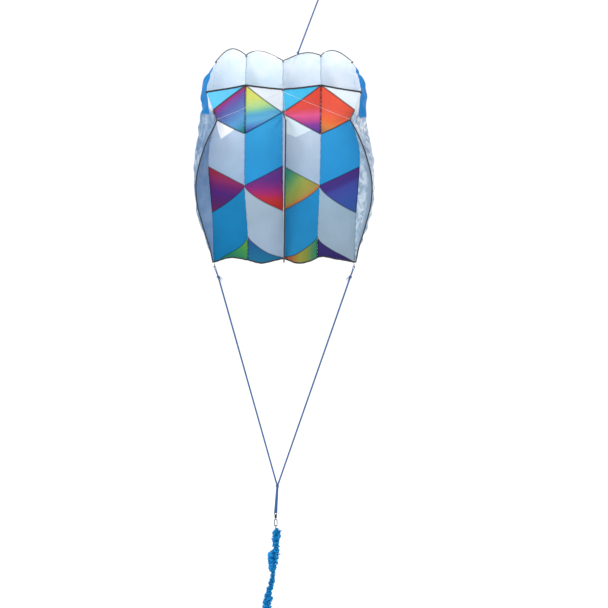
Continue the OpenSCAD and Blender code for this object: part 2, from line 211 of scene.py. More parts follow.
grey_line = braided_line("braided_polyester_line", "4E70A4", "2C4576", 0.0042)
white_line = braided_line("clear_nylon_line", "ECEDF0", "C9CDD4", 0.0016)
white_line.node_tree.nodes["Principled BSDF"].inputs["Transmission Weight"].default_value = 0.55


def tube_mesh(name, path, radius, sides=14, flat=1.0, lie=(0, 1, 0)):
    """Closed tube along a path. radius is one value or one for each point; flat thins the cross-section."""
    path = np.array([tuple(p) for p in path], dtype=float)
    count = len(path)
    radii = np.broadcast_to(np.asarray(radius, dtype=float), (count,))
    heads = np.gradient(path, axis=0)
    heads /= np.linalg.norm(heads, axis=1)[:, None]
    lies = np.broadcast_to(np.asarray(lie, dtype=float), (count, 3))
    across = np.cross(lies, heads)
    across /= np.linalg.norm(across, axis=1)[:, None]
    out = np.cross(heads, across)
    angles = np.linspace(0, 2 * math.pi, sides, endpoint=False)
    rings = (path[:, None] + radii[:, None, None] * (
        np.cos(angles)[None, :, None] * across[:, None]
        + flat * np.sin(angles)[None, :, None] * out[:, None]))
    points = np.concatenate([rings.reshape(-1, 3), path[:1], path[-1:]])
    faces = []
    for i in range(count - 1):
        for j in range(sides):
            k = (j + 1) % sides
            faces.append((i * sides + j, i * sides + k, (i + 1) * sides + k, (i + 1) * sides + j))
    first, last = count * sides, count * sides + 1
    for j in range(sides):
        k = (j + 1) % sides
        faces.append((first, k, j))
        faces.append((last, (count - 1) * sides + j, (count - 1) * sides + k))
    mesh = bpy.data.meshes.new(name)
    mesh.from_pydata(points.tolist(), [], faces)
    run = np.concatenate([[0], np.cumsum(np.linalg.norm(np.diff(path, axis=0), axis=1))])
    uv = mesh.uv_layers.new(name="along")
    corner = [0.0] * (2 * len(mesh.loops))
    for poly in mesh.polygons:
        turns = [v % sides for v in poly.vertices]
        wraps = max(turns) == sides - 1 and min(turns) == 0
        for loop in poly.loop_indices:
            v = mesh.loops[loop].vertex_index
            if v >= first:
                corner[2 * loop: 2 * loop + 2] = [0.5, float(run[0] if v == first else run[-1])]
                continue
            turn = v % sides
            corner[2 * loop] = (turn + (sides if wraps and turn == 0 else 0)) / sides
            corner[2 * loop + 1] = float(run[v // sides])
    uv.data.foreach_set("uv", corner)
    mesh.polygons.foreach_set("use_smooth", [True] * len(mesh.polygons))
    made = bpy.data.objects.new(name, mesh)
    bpy.context.collection.objects.link(made)
    return made


def stretch(start, end, count, sag=0.0):
    """Points of a taut line between two places, with a small sag."""
    last = count - 1
    return [start.lerp(end, k / last) - Vector((0, 0, 4 * sag * k * (last - k) / last ** 2))
            for k in range(count)]


def middle(node):
    """Centre of a CAD node's box."""
    low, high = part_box(node)
    return (Vector(low) + Vector(high)) / 2


def finished(piece, body, slot_name, material, *nodes):
    """Puts the material and body on a piece, and hides the CAD nodes that it stands for. slot_name is not
    used.
    """
    if material:
        piece.data.materials.append(material)
    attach(piece, body)
    if nodes:
        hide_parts(*nodes)
    return piece


line_d = 0.0042
hold = Vector((0, 0, 0))
line_knot = middle("line_knot")
ring_mid = middle("tow_ring")
loop_r = 0.009
up_line = (hold - line_knot).normalized()
loop_foot = hold - up_line * (loop_r + 0.0055)
line_path = stretch(line_knot + up_line * 0.0025, loop_foot, 24)
flying_line = tube_mesh("flying_line_braid", line_path, line_d / 2)
finished(flying_line, "line", "grey_line", grey_line, "flying_line")


def knot_piece(name, centre, size, strand, lean=(0, 0, 1)):
    """An overhand knot: a trefoil of line pulled tight round a lean direction."""
    quat = Vector((0, 0, 1)).rotation_difference(Vector(lean).normalized())
    path = []
    for k in range(96):
        t = 2 * math.pi * k / 96
        local = Vector(((math.sin(t) + 2 * math.sin(2 * t)) * size / 3,
                        (math.cos(t) - 2 * math.cos(2 * t)) * size / 3,
                        -math.sin(3 * t) * size * 0.567))
        path.append(Vector(centre) + quat @ local)
    # The strand's end stops just past its start, inside it.
    path.append(path[0] + (path[1] - path[0]) * 0.02)
    return tube_mesh(name, path, strand, sides=10, lie=tuple(quat @ Vector((0.31, 0.2, 0.93))))


# The line's end is tied back on itself in a loop that the flyer holds.
end_loop = tube_mesh("end_loop", [hold + Vector((math.sin(a) * loop_r, 0, math.cos(a) * loop_r))
                                  for a in np.linspace(0.0, 2 * math.pi, 49)], line_d / 2)
finished(end_loop, "line", "grey_line", grey_line, "line_end_loop")
end_knot = knot_piece("end_loop_knot", loop_foot + up_line * 0.002, 0.0026, line_d * 0.42, up_line)
finished(end_knot, "line", "grey_line", grey_line)
tie_knot = knot_piece("line_to_leader_knot", line_knot, 0.0027, line_d * 0.42, up_line)
finished(tie_knot, "line", "grey_line", grey_line, "line_knot")

leader_d = 0.0009
down_leader = (ring_mid - line_knot).normalized()
ring_top = ring_mid - down_leader * 0.0062
leader_path = stretch(line_knot, ring_top, 18)
leader = tube_mesh("leader_braid", leader_path, leader_d / 2, sides=10)
finished(leader, "line", "white_line", white_line, "leader")

# ---- tow ring ----
# Small welded steel ring that gathers the bridle. It is the CAD node with a plated finish.


def plated_steel(name, colour, rough):
    """Plated steel wire: bright metal with fine drawn streaks and a little dulling."""
    made, tree, shader = new_material(name, rough, colour)
    shader.inputs["Metallic"].default_value = 1.0
    grain = object_noise(tree, 900.0, 4.0)
    wear = add_node(tree, "ShaderNodeMapRange", {"Value": grain, "To Min": rough * 0.7,
                                                 "To Max": rough * 1.5})
    tree.links.new(wear.outputs[0], shader.inputs["Roughness"])
    relief(tree, shader, grain, 0.08, 0.0002)
    return made


def dress(node, material):
    """Gives a CAD node a finished material."""
    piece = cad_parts[node]
    piece.data.materials.clear()
    piece.data.materials.append(material)


steel = plated_steel("nickel_plated_steel", "C9CCD2", 0.24)
dress("tow_ring", steel)

# ---- bridle ----
# Three legs of thin white line run from the keels' tow loops to one knot below the tow ring.
bridle_low, bridle_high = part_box("bridle_knot")
bridle_mid = Vector((ring_mid.x, ring_mid.y, bridle_low[2] + 0.0034))
bridle_knot = knot_piece("bridle_gather_knot", bridle_mid, 0.0027, leader_d * 0.55, (0, 0, 1))
finished(bridle_knot, "kite", "white_line", white_line, "bridle_knot")
loop_mid = Vector((ring_mid.x, ring_mid.y, bridle_high[2] - 0.0057))
bridle_loop = tube_mesh("bridle_ring_loop", [
    loop_mid + Vector((0, math.sin(a) * 0.0034, math.cos(a) * (0.005 if math.cos(a) > 0 else 0.0075)))
    for a in np.linspace(0.0, 2 * math.pi, 49)], leader_d / 2, sides=10, lie=(1, 0, 0))
finished(bridle_loop, "kite", "white_line", white_line)
for place in ("left", "centre", "right"):
    tow_loop = middle("tow_loop_" + place)
    leg_path = stretch(bridle_mid, tow_loop, 20, sag=0.001)
    leg = tube_mesh("bridle_leg_line_" + place, leg_path, leader_d / 2, sides=10)
    finished(leg, "kite", "white_line", white_line, "bridle_leg_" + place)
    toe_knot = knot_piece("tow_knot_" + place, tow_loop + (bridle_mid - tow_loop).normalized() * 0.004,
                          0.0019, leader_d * 0.5, bridle_mid - tow_loop)
    finished(toe_knot, "kite", "white_line", white_line)

# ---- corner bridle for the tail ----
# A V of braided line runs from the rear corners' webbing loops to one knot, then a doubled line to the
# swivel.
tail_d = 0.0054
junction = middle("junction_knot")
for place, side in (("left", -1), ("right", 1)):
    corner = middle("corner_loop_" + place)
    low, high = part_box("tail_knot_" + place)
    tie = Vector(((low[0] if side > 0 else high[0]) + side * 0.0046, corner.y, low[2] + 0.0046))
    leg_path = stretch(tie, junction, 30, sag=0.0)
    leg = tube_mesh("tail_line_braid_" + place, leg_path, tail_d / 2)
    finished(leg, "tail_bridle", "grey_line", grey_line, "tail_line_" + place)
    hook = corner + Vector((0, 0, -0.005))
    lean = (hook - tie).normalized()
    aside = Vector((lean.z, 0, -lean.x))
    bend = hook - lean * 0.0006
    loop_path = [tie + aside * 0.0006, tie.lerp(bend, 0.3) + aside * 0.0013,
                 tie.lerp(bend, 0.7) + aside * 0.0014]
    loop_path += [bend + aside * math.cos(a) * 0.0026 + lean * math.sin(a) * 0.0026
                  for a in np.linspace(0.0, math.pi, 13)]
    loop_path += [tie.lerp(bend, 0.7) - aside * 0.0014, tie.lerp(bend, 0.3) - aside * 0.0013,
                  tie - aside * 0.0006]
    corner_tie = tube_mesh("corner_tie_loop_" + place, loop_path, 0.00125, sides=10)
    finished(corner_tie, "tail_bridle", "grey_line", grey_line, "tail_knot_" + place)
    corner_knot = knot_piece("corner_tie_knot_" + place, tie, 0.0034, tail_d * 0.42, lean)
    finished(corner_knot, "tail_bridle", "grey_line", grey_line)
    # The cut end of the line stands out of the knot and has frayed.
    for k in range(7):
        aim = Vector((-side * (0.5 + 0.13 * k), 0.25 * math.sin(2.1 * k), -0.75 + 0.16 * k)).normalized()
        strand_path = [tie + aim * 0.0028 * j + Vector((0, 0, -0.0003 * j * j)) for j in range(6)]
        strand = tube_mesh("frayed_end_%s_%d" % (place, k), strand_path, np.linspace(0.0006, 0.00025, 6),
                           sides=6, lie=(0.1, 0.9, 0.3))
        finished(strand, "tail_bridle", "grey_line", grey_line)
junction_piece = knot_piece("junction_tie_knot", junction, 0.0036, tail_d * 0.45, (0.1, 0, 1))
finished(junction_piece, "tail_bridle", "grey_line", grey_line, "junction_knot")

barrel_low, barrel_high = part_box("swivel_barrel")
eye_r = 0.0038
eye = Vector(((barrel_low[0] + barrel_high[0]) / 2, junction.y, barrel_high[2] - eye_r - 0.0014))
for side in (-1, 1):
    shift = Vector((side * tail_d * 0.52, 0, 0))
    strand_path = stretch(junction + shift * 0.4, eye + Vector((0, 0, eye_r)) + shift, 16)
    strand = tube_mesh("doubled_line_strand_%d" % (1 if side < 0 else 2), strand_path, tail_d / 2)
    nodes = ("doubled_tail_line",) if side < 0 else ()
    finished(strand, "tail_bridle", "grey_line", grey_line, *nodes)

# ---- clip swivel ----
# Dark coated barrel, wire clip, pin and gate, all given the navy coating; the CAD nodes carry the true
# shapes.


def coated_metal(name, colour):
    """Dark blue coating over metal: smooth, half gloss, with small scuffs."""
    made, tree, shader = new_material(name, 0.5, colour)
    scuffs = object_noise(tree, 700.0, 5.0)
    worn = colour_ramp(tree, scuffs, (0.35, colour), (0.75, "2A3858"))
    tree.links.new(worn, shader.inputs["Base Color"])
    relief(tree, shader, scuffs, 0.12, 0.0003)
    shader.inputs["Specular IOR Level"].default_value = 0.2
    return made


navy = coated_metal("navy_coated_metal", "141D38")
for node in ("swivel_barrel", "swivel_pin", "clip_frame", "clip_gate"):
    dress(node, navy)

# ---- tail ----
# A cord with a strip of light nylon sewn along it and gathered into deep frills, which twists as it hangs.
# The rest of its length is folded into a short bundle and tied.
header_low, header_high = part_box("tail_header_loop")
tail_top = Vector(((header_low[0] + header_high[0]) / 2, junction.y, header_low[2]))
core_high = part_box("tail_core")[1]
tail_route = [(0, 0, 0), (-1, 0, -20), (-3, 1, -45), (-7, 1, -80), (-9, 0, -115), (-11, -1, -155),
              (-16, 0, -190), (-22, 0, -225), (-29, 0, -265), (-33, 0, -295)]
core_top = Vector((tail_top.x, tail_top.y, core_high[2]))
core_points = [core_top + Vector(p) * 0.001 for p in tail_route]


def smooth_route(points, steps):
    """Catmull-Rom curve through points."""
    out = []
    for i in range(len(points) - 1):
        a, b = points[max(i - 1, 0)], points[i]
        c, d = points[i + 1], points[min(i + 2, len(points) - 1)]
        for k in range(steps):
            t = k / steps
            out.append(0.5 * (2 * b + (c - a) * t + (2 * a - 5 * b + 4 * c - d) * t * t
                              + (3 * b - a - 3 * c + d) * t ** 3))
    return out + [points[-1]]


navy_cord = braided_line("braided_navy_cord", "16294A", "0B1730", 0.0026)
core_path = smooth_route(core_points, 6)
core = tube_mesh("tail_core_cord", core_path, 0.0015)
finished(core, "tail", "grey_line", navy_cord, "tail_core")
for node in ("tail_header_loop", "tail_tie", "tail_end_knot"):
    dress(node, navy)


def tail_nylon():
    """Light nylon strip, bright blue under a random cloudy tone: painted lighter towards its free edges as
    light on the folds' crests, and painted shade, a deeper blue, near the cord in their hollows.
    """
    made, tree, shader = new_material("gathered_nylon_strip", 0.42, "1488D0")
    uv = add_node(tree, "ShaderNodeUVMap", uv_map="cloth")
    split = add_node(tree, "ShaderNodeSeparateXYZ", {"Vector": uv.outputs["UV"]})
    depth = maths(tree, "MULTIPLY", split.outputs["X"], 0.55)
    total = maths(tree, "ADD", depth, object_noise(tree, 90.0, 3.0))
    painted_fold_light_and_shade = colour_ramp(tree, total, (0.35, "045C8C"), (0.95, "1E9ADA"))
    tree.links.new(painted_fold_light_and_shade, shader.inputs["Base Color"])
    relief(tree, shader, object_noise(tree, 1500.0), 0.15, 0.0002)
    shader.inputs["Specular IOR Level"].default_value = 0.2
    return made


tail_cloth = tail_nylon()


def thicken(piece, amount, lined=False):
    """Gives a cloth its thickness. A lined one has a second material on its inner face."""
    bpy.ops.object.select_all(action="DESELECT")
    bpy.context.view_layer.objects.active = piece
    piece.select_set(True)
    wall = piece.modifiers.new("thickness", "SOLIDIFY")
    wall.thickness = amount
    wall.offset = 0
    wall.material_offset = 1 if lined else 0
    bpy.ops.object.modifier_apply(modifier=wall.name)


def frill(name, path, width_of, folds, twist, seed, rows=420, columns=7, start=0.0):
    """A strip gathered along a cord: its free edges ripple in deep folds round the core. start turns it."""
    path = np.array([tuple(p) for p in path])
    run = np.concatenate([[0], np.cumsum(np.linalg.norm(np.diff(path, axis=0), axis=1))])
    at = np.linspace(0, run[-1], rows)
    centre = np.stack([np.interp(at, run, path[:, k]) for k in range(3)], axis=1)
    heads = np.gradient(centre, axis=0)
    heads /= np.linalg.norm(heads, axis=1)[:, None]
    side = np.cross(np.array([0.0, 1.0, 0.0]), heads)
    side /= np.linalg.norm(side, axis=1)[:, None]
    out = np.cross(heads, side)
    rng = np.random.default_rng(seed)
    bpy.ops.mesh.primitive_grid_add(x_subdivisions=rows - 1, y_subdivisions=2 * columns, size=1)
    piece = bpy.context.object
    piece.name = name
    grid = np.empty(len(piece.data.vertices) * 3)
    piece.data.vertices.foreach_get("co", grid)
    grid = grid.reshape(-1, 3)
    row = np.clip(np.rint((grid[:, 0] + 0.5) * (rows - 1)).astype(int), 0, rows - 1)
    v = grid[:, 1] * 2
    t = row / (rows - 1)
    warp = np.interp(t, np.linspace(0, 1, 40), rng.uniform(-1.4, 1.4, 40))
    phase = 2 * math.pi * folds * t + warp
    wide = np.array([width_of(x) for x in np.linspace(0, 1, rows)])[row]
    wide = wide * (0.8 + 0.35 * np.interp(t, np.linspace(0, 1, 70), rng.uniform(-1, 1, 70)))
    ripple = np.sign(v) * 0.7 * np.sin(phase)
    turn = start + twist * 2 * math.pi * t + ripple + 0.4 * np.sin(2.3 * phase + seed)
    reach = np.abs(v) * wide * (0.78 + 0.22 * np.cos(phase * 1.7 + seed))
    direction = np.cos(turn)[:, None] * side[row] + np.sin(turn)[:, None] * out[row]
    direction = direction * np.sign(v)[:, None]
    lift = np.abs(v) ** 1.3 * wide * 0.55 * np.sin(phase * 1.31 + 1.1 * np.sign(v))
    points = centre[row] + direction * (reach + 0.0016)[:, None] + heads[row] * lift[:, None]
    piece.data.vertices.foreach_set("co", points.ravel())
    piece.data.uv_layers[0].name = "cloth"
    index = np.empty(len(piece.data.loops), dtype=int)
    piece.data.loops.foreach_get("vertex_index", index)
    corner = np.stack([np.abs(v)[index], t[index]], axis=1)
    piece.data.uv_layers[0].data.foreach_set("uv", corner.ravel())
    piece.data.polygons.foreach_set("use_smooth", [True] * len(piece.data.polygons))
    piece.data.update()
    thicken(piece, 0.0003)
    return piece


def tail_width(t):
    """Half width of the frills along the drawn tail: two fuller stretches and a thin one between them."""
    return float(np.interp(
        t, [0, 0.04, 0.14, 0.23, 0.32, 0.4, 0.5, 0.62, 0.7, 0.79, 0.88, 1.0],
        [0.005, 0.015, 0.0165, 0.012, 0.021, 0.019, 0.012, 0.010, 0.012, 0.0135, 0.018, 0.018]))


# The gathered cloth does not sit evenly round the cord: it bulges first to one side, then to the other.
bulge = np.interp(np.linspace(0, 1, len(core_path)),
                  [0, 0.04, 0.14, 0.23, 0.32, 0.42, 0.62, 0.7, 0.79, 0.9, 1],
                  [0, 0.005, 0.004, 0.003, 0.009, -0.004, 0.003, 0.001, -0.002, 0, 0])
frill_path = [p + Vector((b, 0, 0)) for p, b in zip(core_path, bulge)]
frills = ((1.0, 34, 3, (0.036, 0.7)), (0.85, 41, 8, (0.03, 0.7)), (0.95, 37, 12, (0.036, 0.74)))
for k, (share, folds, seed, flat) in enumerate(frills):
    drawn = frill("tail_frill_drawn_%d" % (k + 1), frill_path, lambda t, share=share: share * tail_width(t),
                  folds, 1.4, seed, start=1.05 * k)
    if k == 0:
        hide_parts("tail_fringe")
    finished(drawn, "tail", "tail_cloth", tail_cloth)

bundle_low, bundle_high = (Vector(p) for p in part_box("tail_bundle"))
bundle_mid = (bundle_low + bundle_high) / 2
run_top = bundle_high.z - 0.014
run_low = bundle_low.z + 0.014
bundle_points = [core_path[-1] + Vector((0, 0, 0.004))]
for k, (x, y) in enumerate(((-12, -3), (0, 5), (12, -3), (2, -8))):
    ends = (run_top, run_low) if k % 2 == 0 else (run_low, run_top)
    for j in range(4):
        z = ends[0] + (ends[1] - ends[0]) * j / 3
        pinch = 0.45 + 0.55 * abs(2 * (z - run_low) / (run_top - run_low) - 1)
        bundle_points.append(Vector((bundle_mid.x + 0.001 * x * pinch, bundle_mid.y + 0.001 * y * pinch, z)))
bundle_path = smooth_route(bundle_points, 6)
folded = frill("tail_frill_bundle", bundle_path, lambda t: 0.0085, 40, 4.0, 5, rows=520)
finished(folded, "tail", "tail_cloth", tail_cloth, "tail_bundle")

# ---- canopy shapes ----
# Every sheet follows from where the seams run, how deep the cells are and how far the cloth swells.
rib_x = kite.x - middle("rib_left").x
half = 2 * rib_x
front_z, rear_z = -0.033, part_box("rear_binding")[0][2] - kite.z + 0.0039
chord = front_z - rear_z
overhang, cell_depth, rib_setback = 0.083, 0.105, 0.014


def through(places, values):
    """Smooth curve through given values: a cubic with the slopes of the neighbouring points."""
    places, values = np.array(places, float), np.array(values, float)
    slopes = np.gradient(values, places)

    def at(x):
        x = np.clip(x, places[0], places[-1])
        i = np.clip(np.searchsorted(places, x, side="right") - 1, 0, len(places) - 2)
        h = places[i + 1] - places[i]
        t = (x - places[i]) / h
        return ((2 * t ** 3 - 3 * t ** 2 + 1) * values[i] + (t ** 3 - 2 * t ** 2 + t) * h * slopes[i]
                + (-2 * t ** 3 + 3 * t ** 2) * values[i + 1] + (t ** 3 - t ** 2) * h * slopes[i + 1])
    return at


bottom_half = through([0, 0.107, 0.172, 0.235, 0.31, 0.43, 0.55, 0.72, 1],
                      [1.012, 0.928, 0.892, 0.942, 0.985, 1.0, 0.985, 0.957, 0.946])
top_half = through([0, 0.24, 0.45, 0.62, 0.8, 1], [0.9, 0.985, 1.06, 1.09, 1.055, 0.95])
rear_wave = through([0, 0.45, 1, 1.4, 1.75, 2, 2.45, 2.85, 3.05, 3.5, 4],
                    [0, 0.015, 0.006, -0.003, 0.006, 0.011, -0.003, 0.006, 0.016, 0.011, 0])
# How far each of the five seams reaches forwards at the two front edges, and each top cell's own scallop
bottom_lift, top_lift = (0.0, 0.019, 0.008, 0.019, 0.0), (0.0, 0.018, 0.003, 0.018, 0.0)
scallops = (0.028, 0.017, 0.013, 0.021)
# Where each scallop's crest stands: below 1 nearer to its left seam, above 1 nearer to its right one
crests = (0.95, 0.72, 1.25, 0.85)
# The inner seams wander a little to the side, as the soft cloth hangs unevenly.
wander = [through([0, 0.25, 0.55, 0.85, 1], values) for values in (
    (0, -0.004, -0.006, 0.003, 0.003), (-0.003, -0.004, -0.004, 0.0, -0.004),
    (-0.003, -0.004, -0.007, -0.013, -0.014))]


def thickness(s):
    """Depth of a cell at chord share s."""
    return 0.0024 + cell_depth * np.power(1 - s, 1.2) * (0.83 + 2.2 * s)


def seam_places(s, outer):
    """Sideways places of the five seams at chord share s."""
    inner = [rib_x * (k - 1) + wander[k](s) for k in range(3)]
    return np.stack([-outer, *inner, outer])


def seam_mix(c, s, outer, lift):
    """At seam coordinate c from 0 to 4: sideways place, mixed lift, share of an inner rib, swell share."""
    i = np.clip(np.floor(c), 0, 3).astype(int)
    u = c - i
    places = seam_places(s, outer)
    left = np.take_along_axis(places, i[None], axis=0)[0]
    right = np.take_along_axis(places, i[None] + 1, axis=0)[0]
    lifts = np.array(lift)
    odd = np.where(i % 2 == 0, u, 1 - u)
    return left + (right - left) * u, lifts[i] + (lifts[i + 1] - lifts[i]) * u, odd, np.sin(np.pi * u)


def soft_waves(x, z, size, seed):
    """Slow uneven waves of about one unit, from a few crossing directions."""
    rng = np.random.default_rng(seed)
    total = np.zeros_like(x)
    for _ in range(7):
        angle, phase, grow = rng.uniform(0, math.pi), rng.uniform(0, 6.28), rng.uniform(0.6, 1.7)
        total += np.sin((x * math.cos(angle) + z * math.sin(angle)) * 2 * math.pi * grow / size + phase)
    return total / 3.2


def pulls(x, z, from_x, from_z, spokes, reach, seed):
    """Creases that run out from a point where the cloth is pulled."""
    dx, dz = x - from_x, z - from_z
    far = np.sqrt(dx * dx + dz * dz) + 1e-6
    angle = np.arctan2(dz, dx)
    ridge = np.sin(angle * spokes + 1.3 * np.sin(angle * 2.3 + seed))
    return ridge * np.exp(-far / reach) * np.minimum(far / 0.02, 1)


def cloth_swell(c, s, x, z, seed):
    """Fine relief of a sewn skin: puckers along seams and bindings, and broad soft waves."""
    near_seam = np.abs(c - np.rint(c)) * rib_x
    pucker = np.exp(-near_seam / 0.011) * np.sin(2 * math.pi * z / 0.017 + 2.2 * np.sin(z * 90 + seed))
    front = s * chord
    rear = (1 - s) * chord
    edge = np.exp(-front / 0.016) + 1.5 * np.exp(-rear / 0.02)
    edge = edge * np.sin(2 * math.pi * x / 0.021 + 2 * np.sin(x * 60))
    broad = soft_waves(x, z, 0.11, seed)
    return 0.0007 * pucker + 0.0008 * edge + 0.0011 * broad * np.minimum(near_seam / 0.02, 1)


def bottom_place(c, s, seed=0):
    """The bottom skin's point at seam coordinate c and chord share s."""
    outer = half * bottom_half(s)
    x, lift, odd, swell = seam_mix(c, s, outer, bottom_lift)
    z = front_z - chord * s + lift * np.power(1 - s, 4)
    tail_end = np.clip((s - 0.84) / 0.16, 0, 1) ** 2
    z = z + rear_wave(c) * tail_end * 0.9
    y = odd * rib_setback * (1 - 0.6 * s) - 0.007 * swell * (1 - 0.5 * s)
    y = y + rear_wave(c) * tail_end * 0.5
    y = y + cloth_swell(c, s, x, z, seed)
    tow_z = front_z - 0.075
    for tow_x in (-0.215, 0.0, 0.215):
        y = y + 0.0016 * pulls(x, z, tow_x, tow_z, 9, 0.075, 3 * tow_x)
    return np.stack([x, y, z], axis=-1)


def top_place(c, s, seed=0):
    """The top skin's point at seam coordinate c and chord share s."""
    outer = half * top_half(s)
    x, lift, odd, swell = seam_mix(c, s, outer, top_lift)
    z = front_z + overhang - (chord + overhang) * s
    i = np.clip(np.floor(c), 0, 3).astype(int)
    crest = np.sin(np.pi * np.power(c - i, np.array(crests)[i]))
    z = z + (np.array(scallops)[i] * crest + lift) * np.power(1 - s, 5)
    tail_end = np.clip((s - 0.86) / 0.14, 0, 1) ** 2
    z = z + rear_wave(c) * tail_end * 0.9
    y = thickness(s) + odd * rib_setback * (1 - 0.6 * s) + 0.017 * swell * np.sqrt(1 - s)
    y = y + rear_wave(c) * tail_end * 0.5
    y = y + cloth_swell(c, s, x, z, seed) * 1.5
    return np.stack([x, y, z], axis=-1)


def cloth_sheet(name, place, columns, rows, tiles):
    """A sheet made from a grid: place gives each point's position, tiles its place on the printed cloth."""
    bpy.ops.object.select_all(action="DESELECT")
    bpy.ops.mesh.primitive_grid_add(x_subdivisions=columns, y_subdivisions=rows, size=1)
    piece = bpy.context.object
    piece.name = name
    mesh = piece.data
    grid = np.empty(len(mesh.vertices) * 3)
    mesh.vertices.foreach_get("co", grid)
    grid = grid.reshape(-1, 3)
    u, v = grid[:, 0] + 0.5, 0.5 - grid[:, 1]
    points = place(u, v) + np.array(tuple(kite))
    mesh.vertices.foreach_set("co", points.ravel())
    index = np.empty(len(mesh.loops), dtype=int)
    mesh.loops.foreach_get("vertex_index", index)
    mesh.uv_layers[0].name = "tiles"
    mesh.uv_layers[0].data.foreach_set("uv", np.stack(tiles(u, v), axis=1)[index].ravel())
    mesh.polygons.foreach_set("use_smooth", [True] * len(mesh.polygons))
    mesh.update()
    return piece


# ---- bottom skin ----
# Four panels of satin ripstop nylon, printed with blocks: pale and blue lozenges and rainbow-dyed diamonds.


def ripstop_relief(tree, shader, strength=0.25):
    """Ripstop weave: a raised thread every 5 mm both ways over a fine crinkle. Returns the thread mask."""
    place = add_node(tree, "ShaderNodeTexCoord")
    split = add_node(tree, "ShaderNodeSeparateXYZ", {"Vector": place.outputs["Object"]})
    threads = []
    for axis in ("X", "Z"):
        turn = maths(tree, "MULTIPLY", split.outputs[axis], 2 * math.pi / 0.005)
        wave = maths(tree, "COSINE", turn)
        threads.append(add_node(tree, "ShaderNodeMapRange", {"Value": wave, "From Min": 0.86}).outputs[0])
    grid = maths(tree, "MAXIMUM", *threads)
    crinkle = object_noise(tree, 130.0, 4.0, 0.6)
    relief(tree, shader, maths(tree, "MULTIPLY_ADD", crinkle, 1.4, grid), strength, 0.0006)
    return grid


def dye(code, level=1.18):
    """A cloth's colour in soft light of the given level, as the dye's own colour."""
    return [channel / level for channel in hex_linear(code)[:3]] + [1.0]


def dyed_ramp(tree, share, stops):
    """Dyed gradient through (place, colour) stops."""
    ramp = add_node(tree, "ShaderNodeValToRGB", {"Fac": share})
    while len(ramp.color_ramp.elements) < len(stops):
        ramp.color_ramp.elements.new(0.5)
    for element, (place, code) in zip(ramp.color_ramp.elements, stops):
        element.position = place
        element.color = dye(code)
    return ramp.outputs["Color"]


def border_line(tree, inward, border):
    """Chord share of a block's border: its values at the keel's and the rib's seam, and its bow."""
    keel_s, rib_s, bow = border
    rest = maths(tree, "SUBTRACT", 1.0, inward)
    return maths(tree, "MULTIPLY_ADD", maths(tree, "POWER", rest, bow), keel_s - rib_s, rib_s)


